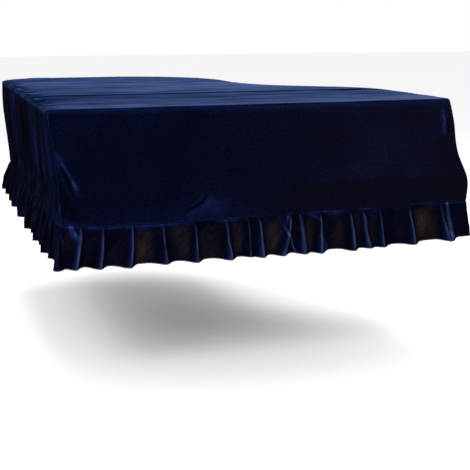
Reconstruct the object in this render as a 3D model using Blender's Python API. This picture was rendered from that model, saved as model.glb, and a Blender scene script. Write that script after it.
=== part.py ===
"""A fitted velvet cover for a grand piano, open underneath. Metres, +Z up.

The origin is on the underside of the top, on the centre line: the spot that lies on the lid.
+X is the treble side, +Y the tail. A place along the rim is an arc length that starts at the
front bass corner and runs along the front, then round the treble side and the tail.
"""

from collections import namedtuple

import bpy
import numpy as np

# Cloth
CLOTH = 0.002
SEAM_GAP = 0.0003
EDGE_ROLL = 0.012
COLOUR_TOP = (0.030, 0.045, 0.130, 1.0)
COLOUR_WALL = (0.010, 0.016, 0.055, 1.0)
COLOUR_FRILL = (0.014, 0.016, 0.050, 1.0)
ROUGHNESS = 0.85

# The lid that the cover fits, measured back from its front edge
LID_HALF = 0.758
ORIGIN_BACK = 0.800
FLAP_SEAM = 0.535
Corner = namedtuple("Corner", "name x y radius")
RIM = (
    Corner("front_bass", -LID_HALF, 0.000, 0.022),
    Corner("front_treble", LID_HALF, 0.000, 0.022),
    Corner("shoulder", 0.743, 0.645, 0.31),
    Corner("waist", 0.282, 1.003, 0.50),
    Corner("tail_treble", 0.278, 1.785, 0.48),
    Corner("tail_bass", -0.741, 1.785, 0.22),
)

# How the walls and the frill hang: drops below the lid, and how far the seam and the hem
# stand outside the rim, at places past a corner
Hang = namedtuple("Hang", "corner past seam_drop hem_drop seam_out hem_out")
HANGS = (
    Hang("front_bass", 0.00, 0.370, 0.502, -0.014, 0.002),
    Hang("front_bass", 0.20, 0.380, 0.509, 0.000, 0.002),
    Hang("front_bass", 1.10, 0.377, 0.508, 0.000, 0.002),
    Hang("front_treble", 0.00, 0.362, 0.491, 0.008, 0.026),
    Hang("shoulder", 0.00, 0.368, 0.497, -0.004, 0.002),
    Hang("waist", 0.00, 0.374, 0.503, -0.010, -0.002),
    Hang("tail_treble", 0.00, 0.377, 0.506, -0.012, -0.002),
    Hang("tail_bass", 0.00, 0.380, 0.511, -0.022, 0.004),
    Hang("tail_bass", 0.95, 0.378, 0.510, -0.014, 0.008),
)

# The front falls outward to the key arms, which it meets at its two ends, then hangs down
Reach = namedtuple("Reach", "level ends middle")
FRONT_REACH = (
    Reach(0.00, 0.000, 0.000),
    Reach(0.20, 0.043, 0.038),
    Reach(0.52, 0.080, 0.092),
    Reach(0.77, 0.148, 0.128),
    Reach(1.00, 0.140, 0.137),
    Reach(2.00, 0.150, 0.150),
)
ARM_WIDTH = 0.30
REACH_FADE = 0.62

# Pleats of the front frill: places across the front at the seam and at the hem
Pleat = namedtuple("Pleat", "seam hem depth rise fall")
FRONT_PLEATS = (
    Pleat(-0.677, -0.704, 0.024, 0.030, 0.015),
    Pleat(-0.605, -0.623, 0.021, 0.030, 0.014),
    Pleat(-0.506, -0.522, 0.023, 0.036, 0.014),
    Pleat(-0.401, -0.395, 0.018, 0.032, 0.016),
    Pleat(-0.290, -0.287, 0.021, 0.034, 0.015),
    Pleat(-0.179, -0.168, 0.022, 0.034, 0.016),
    Pleat(-0.100, -0.095, 0.009, 0.018, 0.012),
    Pleat(-0.058, -0.051, 0.022, 0.022, 0.016),
    Pleat(0.057, 0.024, 0.022, 0.030, 0.016),
    Pleat(0.094, 0.104, 0.020, 0.024, 0.020),
    Pleat(0.170, 0.167, 0.024, 0.026, 0.018),
    Pleat(0.286, 0.294, 0.023, 0.034, 0.016),
    Pleat(0.336, 0.358, 0.014, 0.020, 0.018),
    Pleat(0.403, 0.412, 0.016, 0.022, 0.014),
    Pleat(0.519, 0.528, 0.021, 0.034, 0.015),
    Pleat(0.642, 0.665, 0.014, 0.022, 0.012),
    Pleat(0.666, 0.678, 0.016, 0.014, 0.015),
)

# Pleats of the bass frill: distances back along that side, each with its share of the side
Step = namedtuple("Step", "behind depth pitch")
BASS_PLEATS = (
    Step(0.000, 0.028, 0.09),
    Step(0.105, 0.012, 0.08),
    Step(0.190, 0.025, 0.09),
    Step(0.270, 0.012, 0.08),
    Step(0.355, 0.025, 0.09),
    Step(0.460, 0.013, 0.10),
    Step(0.576, 0.026, 0.11),
    Step(0.690, 0.013, 0.11),
    Step(0.810, 0.025, 0.12),
    Step(0.945, 0.013, 0.12),
    Step(1.080, 0.025, 0.11),
    Step(1.160, 0.012, 0.08),
    Step(1.240, 0.024, 0.09),
    Step(1.330, 0.012, 0.09),
    Step(1.420, 0.024, 0.09),
    Step(1.500, 0.012, 0.08),
    Step(1.580, 0.024, 0.09),
)

# Upright folds of the bass wall: distances back along that side
BASS_FOLDS = (
    0.097, 0.173, 0.239, 0.336, 0.434, 0.543, 0.639, 0.774, 0.917, 1.031, 1.150, 1.254, 1.363, 1.470, 1.580,
)

# Pleats and upright folds of the other sides, spread unevenly from a seed
Row = namedtuple("Row", "start end pleats folds seed")
SIDES = (
    Row("front_treble", "tail_treble", 18, 15, 4),
    Row("tail_treble", "tail_bass", 8, 7, 7),
)
PLEAT_DEPTH = 0.022
PLEAT_REST = 0.007
PLEAT_RISE = 0.32
PLEAT_FALL = 0.16
SEAM_PLEAT = 0.35
HEM_DIP = 0.28
FOLD_DEPTH = 0.011
FOLD_WIDTH = 0.026
FOLD_AT_SEAM = 0.5
UNEVEN = 0.22

# Creases of the front panel: both ends, as places across the front and drops
Crease = namedtuple("Crease", "x1 drop1 x2 drop2 height width")
CREASES = (
    Crease(-0.720, 0.150, -0.648, 0.290, 0.006, 0.013),
    Crease(-0.740, 0.185, -0.693, 0.285, 0.004, 0.012),
    Crease(-0.243, 0.372, -0.163, 0.325, 0.004, 0.012),
)
SLACK = 0.0025
TOP_WAVE = 0.0012

# The walls and the frill are cut in four, with upright seams at these corners
Panel = namedtuple("Panel", "side start end")
PANELS = (
    Panel("front", "front_bass", "front_treble"),
    Panel("treble", "front_treble", "tail_treble"),
    Panel("tail", "tail_treble", "tail_bass"),
    Panel("bass", "tail_bass", "front_bass"),
)

# Fineness of the meshes
WALL_ROWS = 7
FRILL_ROWS = 4
FLAP_COLUMNS = 14
MAIN_COLUMNS = 10
ROLL_STEPS = 3
PLEAT_STEPS = (-1.7, -0.8, -0.25, 0.2, 0.8, 1.6)
FOLD_STEPS = (-1.5, 0.0, 1.2)
LEAST_COLUMN = 0.003
LEAST_WALL_COLUMN = 0.009
FRONT_COLUMN = 0.055
CREASE_COLUMN = 0.016
BEND_STEP = 0.10
SHARP_BEND = 0.05
ARC_STEP = np.radians(1.0)
EDGE_SAMPLES = 3000
PROBE = 0.0004
LEVEL_PROBE = 0.0016
SHARP_EDGE = np.radians(50)


def smooth(share):
    """Ease from 0 to 1 with no slope at either end."""
    share = np.clip(share, 0.0, 1.0)
    return share * share * (3.0 - 2.0 * share)


def through(x, xs, ys):
    """A smooth curve through the points (xs, ys), read at x."""
    xs = np.asarray(xs, float)
    ys = np.asarray(ys, float)
    slopes = np.gradient(ys, xs)
    i = np.clip(np.searchsorted(xs, x) - 1, 0, len(xs) - 2)
    width = xs[i + 1] - xs[i]
    t = np.clip((x - xs[i]) / width, 0.0, 1.0)
    return (
        (1 + 2 * t) * (1 - t) ** 2 * ys[i]
        + t * (1 - t) ** 2 * width * slopes[i]
        + t**2 * (3 - 2 * t) * ys[i + 1]
        - t**2 * (1 - t) * width * slopes[i + 1]
    )


def trace_rim():
    """The rim as dense points with headings, and where each bend starts, turns and ends."""
    points, headings, bends = [], [], {}
    ends = np.array([(c.x, c.y) for c in RIM])
    for i, corner in enumerate(RIM):
        before = ends[i] - ends[i - 1]
        after = ends[(i + 1) % len(RIM)] - ends[i]
        start = np.arctan2(before[1], before[0])
        turn = np.arctan2(after[1], after[0]) - start
        turn = (turn + np.pi) % (2 * np.pi) - np.pi
        side = np.sign(turn)
        tangent = corner.radius * abs(np.tan(turn / 2))
        entry = ends[i] - tangent * before / np.linalg.norm(before)
        centre = entry + side * corner.radius * np.array([-np.sin(start), np.cos(start)])
        half = max(4, int(abs(turn) / ARC_STEP / 2))
        bends[corner.name] = np.array([0, half, 2 * half]) + len(points)
        for heading in start + turn * np.linspace(0, 1, 2 * half + 1):
            spoke = np.array([np.sin(heading), -np.cos(heading)])
            points.append(centre + side * corner.radius * spoke)
            headings.append(heading)
    points.append(points[0])
    headings.append(headings[0])
    points = np.array(points)
    lengths = np.linalg.norm(np.diff(points, axis=0), axis=1)
    along = np.concatenate([[0.0], np.cumsum(lengths)])
    along -= along[bends["front_bass"][1]]
    return along, points, np.unwrap(headings), {name: along[i] for name, i in bends.items()}


ALONG, RIM_POINTS, HEADINGS, BENDS = trace_rim()
CORNERS = {name: bend[1] for name, bend in BENDS.items()}
ROUND = ALONG[-1] - ALONG[0]


def rim(s):
    """The rim's point and outward direction at arc length s."""
    s = (np.asarray(s, float) - ALONG[0]) % ROUND + ALONG[0]
    heading = np.interp(s, ALONG, HEADINGS)
    point = np.stack([np.interp(s, ALONG, RIM_POINTS[:, k]) for k in (0, 1)], -1)
    return point, np.stack([np.sin(heading), -np.cos(heading)], -1)


def signed_gap(s, place):
    """From place to s the short way round the rim."""
    return (s - place + ROUND / 2) % ROUND - ROUND / 2


def hang(s, column):
    """One column of HANGS, eased from each place to the next."""
    places = np.array([CORNERS[row.corner] + row.past for row in HANGS] + [ROUND])
    values = np.array([getattr(row, column) for row in HANGS + HANGS[:1]])
    s = np.asarray(s, float) % ROUND
    i = np.clip(np.searchsorted(places, s) - 1, 0, len(HANGS) - 1)
    share = (s - places[i]) / (places[i + 1] - places[i])
    return values[i] + (values[i + 1] - values[i]) * smooth(share)


def front_pull(s):
    """1 along the front, fading to 0 down the two sides that meet it."""
    s = np.asarray(s, float) % ROUND
    beyond = np.maximum(np.minimum(s - CORNERS["front_treble"], ROUND - s), 0.0)
    return np.clip(1 - beyond / REACH_FADE, 0.0, 1.0) ** 2


def front_reach(s, level):
    """How far the cover stands in front of the rim at a level, 0 at the rim and 1 at the seam."""
    s = np.asarray(s, float) % ROUND
    inside = np.minimum(s, CORNERS["front_treble"] - s)
    middle = smooth(inside / ARM_WIDTH)
    levels = [row.level for row in FRONT_REACH]
    at_ends = through(level, levels, [row.ends for row in FRONT_REACH])
    at_middle = through(level, levels, [row.middle for row in FRONT_REACH])
    return front_pull(s) * (at_ends + (at_middle - at_ends) * middle)


def roll_end(s):
    """How far round the lid's edge the top turns before the wall leaves it."""
    facing = np.maximum(-rim(s)[1][..., 1], 0.0)
    slope = front_reach(s, LEVEL_PROBE) / (LEVEL_PROBE * hang(s, "seam_drop"))
    return np.pi / 2 - np.arctan(slope * facing)


def spread(side, count, depth, width):
    """Uneven places along one side as (place, depth, width), and a sideways lean for each."""
    rng = np.random.default_rng(side.seed + count)
    start = CORNERS[side.start]
    pitch = ((CORNERS[side.end] - start) % ROUND) / count
    uneven = rng.uniform(-UNEVEN, UNEVEN, (4, count))
    place = start + (np.arange(count) + 0.5 + uneven[0]) * pitch
    rows = np.stack([place, depth * (1 + uneven[1]), (width or pitch) * (1 + uneven[2])], -1)
    return rows, uneven[3] * pitch / 2


def all_pleats():
    """Every pleat of the frill as (place at the seam, place at the hem, depth, rise, fall)."""
    rows = [(p.seam + LID_HALF, p.hem + LID_HALF, p.depth, p.rise, p.fall) for p in FRONT_PLEATS]
    for step in BASS_PLEATS:
        place = ROUND - step.behind
        rows.append((place, place, step.depth, PLEAT_RISE * step.pitch, PLEAT_FALL * step.pitch))
    for side in SIDES:
        found, leans = spread(side, side.pleats, PLEAT_DEPTH, None)
        for (place, depth, pitch), lean in zip(found, leans):
            rows.append((place, place + lean, depth, PLEAT_RISE * pitch, PLEAT_FALL * pitch))
    return np.array(rows)


def all_folds():
    """Every upright fold of the walls as (place, depth, width)."""
    rows = [np.array([(ROUND - behind, FOLD_DEPTH, FOLD_WIDTH) for behind in BASS_FOLDS])]
    rows += [spread(side, side.folds, FOLD_DEPTH, FOLD_WIDTH)[0] for side in SIDES]
    return np.concatenate(rows)


PLEATS = all_pleats()
FOLDS = all_folds()


def pleat_height(s, share):
    """How far the pleats stand out at s, share of the way from the frill's seam to its hem."""
    height = np.zeros(np.broadcast(s, share).shape)
    opening = SEAM_PLEAT + (1 - SEAM_PLEAT) * share
    for seam, hem, depth, rise, fall in PLEATS:
        gap = signed_gap(s, seam + (hem - seam) * share)
        width = np.where(gap < 0, rise, fall) * opening
        height += depth * np.exp(-((gap / width) ** 2))
    return (height - PLEAT_REST) * np.sin(np.pi / 2 * share) ** 1.3


def fold_height(s, level):
    """How far the upright folds stand out at s, at a level from 0 at the rim to 1 at the seam."""
    height = np.zeros(np.broadcast(s, level).shape)
    for place, depth, width in FOLDS:
        height += depth * np.exp(-((signed_gap(s, place) / width) ** 2))
    fade = 1 - (1 - FOLD_AT_SEAM) * smooth((level - 0.7) / 0.3)
    return (height - FOLD_DEPTH / 2) * smooth(level / 0.35) * fade


def crease_height(s, drop):
    """The creases and the slack of the front panel at s and a drop below the lid."""
    height = np.zeros(np.broadcast(s, drop).shape)
    for crease in CREASES:
        start = np.array([crease.x1 + LID_HALF, crease.drop1])
        run = np.array([crease.x2 + LID_HALF, crease.drop2]) - start
        away = np.stack([s - start[0], drop - start[1]], -1)
        share = np.clip(away @ run / (run @ run), 0.0, 1.0)
        gap = np.linalg.norm(away - share[..., None] * run, axis=-1)
        height += crease.height * np.exp(-((gap / crease.width) ** 2)) * (0.4 + 0.6 * share)
    wave = np.sin(7.0 * s + 9.0 * drop) + 0.6 * np.sin(13.0 * s - 14.0 * drop + 1.0)
    return height + SLACK * wave * smooth(drop / 0.1)


def hanging(s, level):
    """A point on the outside of the cover: level 0 to 1 is the wall, 1 to 2 the frill."""
    s, level = np.broadcast_arrays(np.asarray(s, float), np.asarray(level, float))
    point, outward = rim(s)
    share = np.clip(level - 1, 0.0, 1.0)
    wall = np.clip(level, 0.0, 1.0)
    roll = roll_end(s)
    start = CLOTH - EDGE_ROLL * (1 - np.cos(roll))
    seam_z = -hang(s, "seam_drop")
    hem_z = -hang(s, "hem_drop")
    z = start + (seam_z - start) * np.minimum(level, 1.0)
    z = z + (hem_z - seam_z) * np.maximum(level - 1, 0.0)
    pleats = pleat_height(s, share)
    out = hang(s, "seam_out") * smooth(wall) - EDGE_ROLL * (1 - np.sin(roll))
    out = out + (hang(s, "hem_out") - hang(s, "seam_out")) * np.sin(np.pi / 2 * share)
    out = out + pleats + fold_height(s, wall) * (1 - share)
    local = s % ROUND
    width = CORNERS["front_treble"]
    on_front = smooth(local / 0.04) * smooth((width - local) / 0.04)
    out = out + crease_height(local, -z) * on_front * (1 - share)
    x = point[..., 0] + outward[..., 0] * out
    y = point[..., 1] + outward[..., 1] * out - front_reach(s, level) - ORIGIN_BACK
    return np.stack([x, y, z - HEM_DIP * np.maximum(pleats, 0.0) * share], -1)


def outside_normal(s, level):
    """The outward normal of the hanging cloth, from its slopes both ways."""
    across = hanging(s + PROBE, level) - hanging(s - PROBE, level)
    above = np.maximum(level - LEVEL_PROBE, 0.0)
    down = hanging(s, level + LEVEL_PROBE) - hanging(s, above)
    normal = np.cross(down, across)
    return normal / np.linalg.norm(normal, axis=-1, keepdims=True)


def velvet(name, colour):
    material = bpy.data.materials.new(name)
    material.use_nodes = True
    shader = material.node_tree.nodes["Principled BSDF"]
    shader.inputs["Base Color"].default_value = colour
    shader.inputs["Roughness"].default_value = ROUGHNESS
    shader.inputs["Metallic"].default_value = 0.0
    return material


def add_cloth(name, outside, normals, faces, material):
    """A closed sheet: the outside skin, the same skin set in by the cloth, and its edges."""
    count = len(outside)
    verts = np.concatenate([outside, outside - CLOTH * normals])
    sides = np.concatenate([faces[:, [k, (k + 1) % 4]] for k in range(4)])
    edges = {tuple(edge) for edge in sides.tolist()}
    ends = []
    for a, b in edges:
        if (b, a) not in edges:
            # Starting at the earlier point splits the facing ends of two panels the same way
            quad = (b, a, a + count, b + count)
            ends.append(quad if b < a else quad[1:] + quad[:1])
    mesh = bpy.data.meshes.new(name)
    mesh.from_pydata(verts.tolist(), [], faces.tolist() + (faces[:, ::-1] + count).tolist() + ends)
    mesh.shade_smooth()
    mesh.set_sharp_from_angle(angle=SHARP_EDGE)
    mesh.materials.append(material)
    bpy.context.scene.collection.objects.link(bpy.data.objects.new(name, mesh))


def grid_faces(rows, columns):
    """Quads of a grid whose points run along each row, row after row downwards."""
    at = np.arange(rows * columns).reshape(rows, columns)
    quads = np.stack([at[:-1, :-1], at[1:, :-1], at[1:, 1:], at[:-1, 1:]], -1)
    return quads.reshape(-1, 4)


def panel_corners(panel):
    """The arc lengths of a panel's two corners."""
    first = CORNERS[panel.start]
    return first, first + (CORNERS[panel.end] - first) % ROUND


def thinned(places, first, last, least):
    """The places between two ends, in order, none closer than least to the one before."""
    kept = [first]
    for place in sorted(places):
        if place - kept[-1] >= least and last - place >= least:
            kept.append(place)
    return np.array(kept + [last])


def bend_columns(first, last):
    """Places for a panel's columns round the rim's bends: a sharp one has three."""
    places = []
    for corner in RIM:
        bend = BENDS[corner.name]
        if corner.radius > SHARP_BEND:
            bend = np.linspace(bend[0], bend[2], 2 + int((bend[2] - bend[0]) / BEND_STEP))
        places += list(first + (bend - first) % ROUND)
    return [place for place in places if first + LEAST_COLUMN < place < last - LEAST_COLUMN]


def front_columns(first, last):
    """Even columns across the front panel, closer together at its creases."""
    places = list(np.arange(first + FRONT_COLUMN, last, FRONT_COLUMN))
    for crease in CREASES:
        low, high = sorted([crease.x1 + LID_HALF, crease.x2 + LID_HALF])
        places += list(np.arange(low - crease.width, high + crease.width, CREASE_COLUMN))
    return thinned(places + bend_columns(first, last), first, last, LEAST_WALL_COLUMN)


def wall_columns(first, last):
    """Columns at each fold of a gathered wall."""
    places = bend_columns(first, last)
    for place, _, width in FOLDS:
        crest = first + (place - first) % ROUND
        places += [crest + step * width for step in FOLD_STEPS]
    return thinned(places, first, last, LEAST_WALL_COLUMN)


def frill_columns(first, last, levels):
    """Columns that follow the pleats down, closer together at each ridge, for each level."""
    rows = []
    middle = (first + last) / 2
    for share in levels - 1:
        opening = SEAM_PLEAT + (1 - SEAM_PLEAT) * share
        places = bend_columns(first, last)
        for seam, hem, _, rise, fall in PLEATS:
            ridge = middle + signed_gap(seam, middle) + (hem - seam) * share
            for step in PLEAT_STEPS:
                places.append(ridge + step * (rise if step < 0 else fall) * opening)
        rows.append(sorted(places))
    rows = np.array(rows)
    for k in range(1, rows.shape[1]):
        rows[:, k] = np.maximum(rows[:, k], rows[:, k - 1] + LEAST_COLUMN)
    clear = (rows > first + LEAST_COLUMN).all(0) & (rows < last - LEAST_COLUMN).all(0)
    ends = np.ones((len(rows), 1))
    return np.concatenate([first * ends, rows[:, clear], last * ends], 1)


def add_hanging(name, columns, levels, material):
    """One panel of wall or frill. columns hold an arc length for each level and column."""
    levels = np.broadcast_to(levels[:, None], columns.shape)
    outside = hanging(columns, levels)
    normals = outside_normal(columns, levels)
    for end, inward in ((0, 1.0), (-1, -1.0)):
        across = np.cross(normals[:, end], np.gradient(outside[:, end], axis=0))
        across /= np.linalg.norm(across, axis=-1, keepdims=True)
        outside[:, end] += inward * SEAM_GAP / 2 * across
    faces = grid_faces(*columns.shape)
    add_cloth(name, outside.reshape(-1, 3), normals.reshape(-1, 3), faces, material)


def flat_edge(start, end):
    """Distances behind the front, with arc lengths, down one long edge of the top's flat."""
    first = BENDS[start][0]
    s = np.linspace(first, first + (BENDS[end][2] - first) % ROUND, EDGE_SAMPLES)
    point, outward = rim(s)
    behind = point[:, 1] - EDGE_ROLL * outward[:, 1]
    order = np.argsort(behind, kind="stable")
    return behind[order], s[order]


def flat_top(rows, columns):
    """The flat of a panel of the top, and the arc lengths of its bass and treble edges."""
    bass = np.interp(rows, *flat_edge("tail_bass", "front_bass"))
    treble = np.interp(rows, *flat_edge("front_treble", "tail_treble"))
    ends = np.stack([bass, treble], -1)
    point, outward = rim(ends)
    x = point[..., 0] - EDGE_ROLL * outward[..., 0]
    across = x[:, :1] + (x[:, 1:] - x[:, :1]) * np.linspace(0.0, 1.0, columns)
    behind = np.broadcast_to(rows[:, None], across.shape)
    inside = np.minimum(across - across[:, :1], across[:, -1:] - across)
    inside = np.minimum(inside, np.abs(behind - rows[-1]))
    wave = 1.0 + np.sin(6.0 * across + 11.0 * behind) * np.cos(9.0 * behind - 3.0 * across)
    z = CLOTH + TOP_WAVE * wave * smooth(inside / 0.12)
    return np.stack([across, behind - ORIGIN_BACK, z], -1), ends


def add_top(name, rows, columns, material):
    """A panel of the top: its flat, then the roll over the lid's edge on three sides.

    rows are distances behind the front edge, from the seam across the top to the rim.
    """
    flat, ends = flat_top(rows, columns)
    at = np.arange(len(rows) * columns).reshape(len(rows), columns)
    before = np.concatenate([at[:-1, 0], at[-1], at[-2::-1, -1]])
    far = ends[-1, 1]
    last_row = np.linspace(far - signed_gap(far, ends[-1, 0]), far, columns)
    s = np.concatenate([ends[:-1, 0], last_row, ends[-2::-1, 1]])
    point, outward = rim(s)
    points = [flat.reshape(-1, 3)]
    normals = [np.tile([0.0, 0.0, 1.0], (at.size, 1))]
    faces = [grid_faces(*at.shape)]
    for step in range(1, ROLL_STEPS + 1):
        turn = (roll_end(s) * step / ROLL_STEPS)[:, None]
        plan = point - EDGE_ROLL * (1 - np.sin(turn)) * outward - [0.0, ORIGIN_BACK]
        points.append(np.concatenate([plan, CLOTH - EDGE_ROLL * (1 - np.cos(turn))], -1))
        normals.append(np.concatenate([np.sin(turn) * outward, np.cos(turn)], -1))
        after = at.size + (step - 1) * len(s) + np.arange(len(s))
        faces.append(np.stack([before[:-1], after[:-1], after[1:], before[1:]], -1))
        before = after
    faces = np.concatenate(faces)
    if rows[-1] > rows[0]:
        faces = faces[:, ::-1]
    add_cloth(name, np.concatenate(points), np.concatenate(normals), faces, material)


def flap_rows():
    """Rows of the front panel of the top, from its seam to the front edge."""
    corner = RIM[0].radius - EDGE_ROLL
    bend = EDGE_ROLL + corner * (1 - np.sin(np.radians([0.0, 45.0, 90.0])))
    return np.concatenate([np.linspace(FLAP_SEAM - SEAM_GAP / 2, 0.08, 7), bend])


def main_rows():
    """Rows of the main panel of the top, from its seam to the tail, closer at its round ends."""
    places = list(np.linspace(FLAP_SEAM, RIM[4].y - RIM[4].radius, 12)[1:])
    for corner, turns in ((RIM[4], (20, 40, 58, 74)), (RIM[5], (30, 60))):
        inner = corner.radius - EDGE_ROLL
        places += list(corner.y - corner.radius + inner * np.sin(np.radians(turns)))
    return thinned(places, FLAP_SEAM + SEAM_GAP / 2, RIM[5].y - EDGE_ROLL, LEAST_WALL_COLUMN)


def clear_scene():
    for item in list(bpy.data.objects):
        bpy.data.objects.remove(item, do_unlink=True)


def main():
    clear_scene()
    top = velvet("top_velvet", COLOUR_TOP)
    wall = velvet("wall_velvet", COLOUR_WALL)
    frill = velvet("frill_velvet", COLOUR_FRILL)
    add_top("top_front", flap_rows(), FLAP_COLUMNS, top)
    add_top("top_main", main_rows(), MAIN_COLUMNS, top)
    wall_levels = np.linspace(0.0, 1.0, WALL_ROWS + 1)
    wall_levels[0] = SEAM_GAP / HANGS[0].seam_drop
    frill_levels = np.linspace(1.0, 2.0, FRILL_ROWS + 1)
    frill_levels[0] += SEAM_GAP / (HANGS[0].hem_drop - HANGS[0].seam_drop)
    for panel in PANELS:
        first, last = panel_corners(panel)
        place_columns = front_columns if panel.side == "front" else wall_columns
        columns = np.tile(place_columns(first, last), (len(wall_levels), 1))
        add_hanging("wall_" + panel.side, columns, wall_levels, wall)
        columns = frill_columns(first, last, frill_levels)
        add_hanging("frill_" + panel.side, columns, frill_levels, frill)


main()
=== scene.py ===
import math
from collections import namedtuple

import bpy
import numpy as np
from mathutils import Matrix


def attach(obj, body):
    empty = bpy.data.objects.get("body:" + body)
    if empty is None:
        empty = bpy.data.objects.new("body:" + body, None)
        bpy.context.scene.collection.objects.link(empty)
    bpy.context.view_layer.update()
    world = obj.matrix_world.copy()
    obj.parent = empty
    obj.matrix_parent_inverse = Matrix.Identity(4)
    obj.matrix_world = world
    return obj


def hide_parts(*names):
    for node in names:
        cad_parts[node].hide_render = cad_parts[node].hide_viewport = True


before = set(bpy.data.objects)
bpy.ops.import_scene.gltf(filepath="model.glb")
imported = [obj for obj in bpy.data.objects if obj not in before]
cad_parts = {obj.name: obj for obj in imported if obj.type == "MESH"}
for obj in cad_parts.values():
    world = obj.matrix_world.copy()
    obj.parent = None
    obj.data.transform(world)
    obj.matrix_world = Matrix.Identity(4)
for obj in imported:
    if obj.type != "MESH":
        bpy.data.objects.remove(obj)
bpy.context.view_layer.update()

# The top: two panels of cotton velvet cut to the closed lid's outline, with a straight front,
# a straight bass side, and a treble side that swings in to the round tail. They are sewn
# together across the line of the lid's front flap, and their rim is turned down over the lid.
CLOTH = 0.002
LID_HALF = 0.758
LID_FRONT = -0.800
FLAP_SEAM = 0.535
RIM_ROLL = 0.012
Corner = namedtuple("Corner", "name x y radius")
OUTLINE = (
    Corner("front_bass", -LID_HALF, 0.000, 0.022),
    Corner("front_treble", LID_HALF, 0.000, 0.022),
    Corner("shoulder", 0.743, 0.645, 0.31),
    Corner("waist", 0.282, 1.003, 0.50),
    Corner("tail_treble", 0.278, 1.785, 0.48),
    Corner("tail_bass", -0.741, 1.785, 0.22),
)


def smooth(share):
    """Ease from 0 to 1 with no slope at either end."""
    share = np.clip(share, 0.0, 1.0)
    return share * share * (3.0 - 2.0 * share)


def bell(gap, width):
    return np.exp(-((gap / width) ** 2))


def chalk_outline():
    """The outline as close points with headings, and where each of its bends starts and ends."""
    points, headings, bends = [], [], {}
    ends = np.array([(c.x, c.y) for c in OUTLINE])
    for i, corner in enumerate(OUTLINE):
        before = ends[i] - ends[i - 1]
        after = ends[(i + 1) % len(OUTLINE)] - ends[i]
        start = math.atan2(before[1], before[0])
        turn = (math.atan2(after[1], after[0]) - start + math.pi) % (2 * math.pi) - math.pi
        side = math.copysign(1.0, turn)
        entry = corner.radius * abs(math.tan(turn / 2)) * before / np.linalg.norm(before)
        across = side * corner.radius * np.array([-math.sin(start), math.cos(start)])
        centre = ends[i] - entry + across
        half = max(4, int(abs(turn) / math.radians(1.0) / 2))
        bends[corner.name] = np.array([0, half, 2 * half]) + len(points)
        for heading in start + turn * np.linspace(0, 1, 2 * half + 1):
            spoke = np.array([math.sin(heading), -math.cos(heading)])
            points.append(centre + side * corner.radius * spoke)
            headings.append(heading)
    points = np.array(points + points[:1])
    headings = np.unwrap(headings + headings[:1])
    along = np.concatenate([[0.0], np.cumsum(np.linalg.norm(np.diff(points, axis=0), axis=1))])
    along -= along[bends["front_bass"][1]]
    return along, points, headings, {name: along[i] for name, i in bends.items()}


ALONG, CHALK, HEADINGS, BENDS = chalk_outline()
CORNERS = {name: bend[1] for name, bend in BENDS.items()}
ROUND = ALONG[-1] - ALONG[0]


def rim(s):
    """The outline's point and outward direction, a length s round it from the front bass corner."""
    s = (np.asarray(s, float) - ALONG[0]) % ROUND + ALONG[0]
    heading = np.interp(s, ALONG, HEADINGS)
    point = np.stack([np.interp(s, ALONG, CHALK[:, k]) for k in (0, 1)], -1)
    return point, np.stack([np.sin(heading), -np.cos(heading)], -1)


def signed_gap(s, place):
    """From place to s the short way round the rim."""
    return (s - place + ROUND / 2) % ROUND - ROUND / 2


CELL_ROWS = 97
CELLS_FROM = (40.0, 30.0)


def crumple(u, v, wide, tall, seed, round_rim=True):
    """Smooth random heights from -1 to 1 in cells wide and tall. They meet round the rim."""
    cells = int(round(ROUND / wide))
    heights = np.random.default_rng(seed).uniform(-1.0, 1.0, (cells, CELL_ROWS))
    x = np.asarray(u, float) % ROUND * cells / ROUND if round_rim else u / wide + CELLS_FROM[0]
    y = np.asarray(v, float) / tall + CELLS_FROM[1]
    i, j = np.floor(x).astype(int), np.floor(y).astype(int)
    a, b = smooth(x - i), smooth(y - j)

    def column(k):
        k = k % cells
        return heights[k, j % CELL_ROWS] * (1 - b) + heights[k, (j + 1) % CELL_ROWS] * b

    return column(i) * (1 - a) + column(i + 1) * a


def grid_faces(rows, columns):
    at = np.arange(rows * columns).reshape(rows, columns)
    return np.stack([at[:-1, :-1], at[1:, :-1], at[1:, 1:], at[:-1, 1:]], -1).reshape(-1, 4)


def cut_cloth(name, points, faces, places, marks, velvet):
    """A sheet from its outside skin. places are metres on the cloth, marks are named masks."""
    mesh = bpy.data.meshes.new(name)
    mesh.from_pydata(points.tolist(), [], faces.tolist())
    mesh.shade_smooth()
    corner = np.empty(len(mesh.loops), int)
    mesh.loops.foreach_get("vertex_index", corner)
    mesh.uv_layers.new(name="cloth").data.foreach_set("uv", places[corner].ravel())
    for mark, values in marks.items():
        layer = mesh.attributes.new(mark, "FLOAT", "POINT")
        layer.data.foreach_set("value", np.clip(values, 0.0, 1.0).ravel())
    mesh.materials.append(velvet)
    piece = bpy.data.objects.new(name, mesh)
    bpy.context.scene.collection.objects.link(piece)
    layers = piece.modifiers.new("cloth", "SOLIDIFY")
    layers.thickness = CLOTH
    layers.offset = -1.0
    return piece


def put(tree, value, socket):
    """Give a socket a fixed value, or the output of another node."""
    if isinstance(value, (float, tuple)):
        socket.default_value = value
    else:
        tree.links.new(value, socket)


def maths(tree, operation, *values):
    node = tree.nodes.new("ShaderNodeMath")
    node.operation = operation
    for value, socket in zip(values, node.inputs):
        put(tree, value, socket)
    return node.outputs["Value"]


def blend(tree, under, over, factor):
    node = tree.nodes.new("ShaderNodeMix")
    node.data_type = "RGBA"
    for name, value in (("A", under), ("B", over), ("Factor", factor)):
        put(tree, value, node.inputs[name])
    return node.outputs["Result"]


def mask(tree, name):
    node = tree.nodes.new("ShaderNodeAttribute")
    node.attribute_name = name
    return node.outputs["Fac"]


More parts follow.
